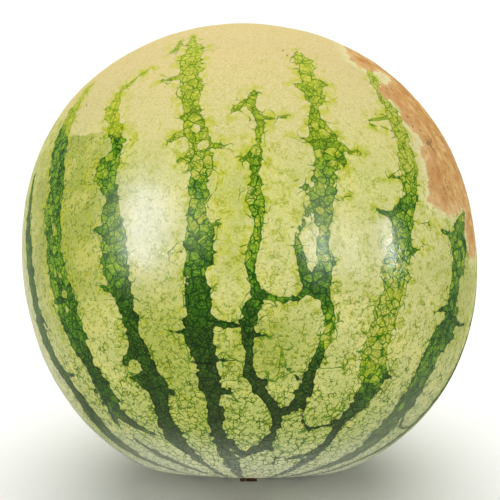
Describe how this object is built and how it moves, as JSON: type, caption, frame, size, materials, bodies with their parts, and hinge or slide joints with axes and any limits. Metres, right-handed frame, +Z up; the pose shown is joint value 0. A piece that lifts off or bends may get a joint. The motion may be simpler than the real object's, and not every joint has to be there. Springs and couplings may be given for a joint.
{
  "type": "watermelon",
  "caption": "Whole round striped watermelon, standing by its stem end on a small flat spot, with the dry stub of its stem.",
  "frame": {"origin": "on the ground, under the middle of the bounding box", "axes": "+Z up; the stem end faces down and forward, -Y; the blossom end faces up and back, +Y; +X is to the right seen from the front"},
  "size_m": [0.238, 0.2408, 0.2427],
  "materials": {
    "rind": "waxy rind, soft gloss, green veined stripes on yellow-green",
    "dry_stem": "matte, dry and corky"
  },
  "bodies": {
    "root": {"fruit": "rind", "stem_stub": "dry_stem"}
  },
  "joints": []
}
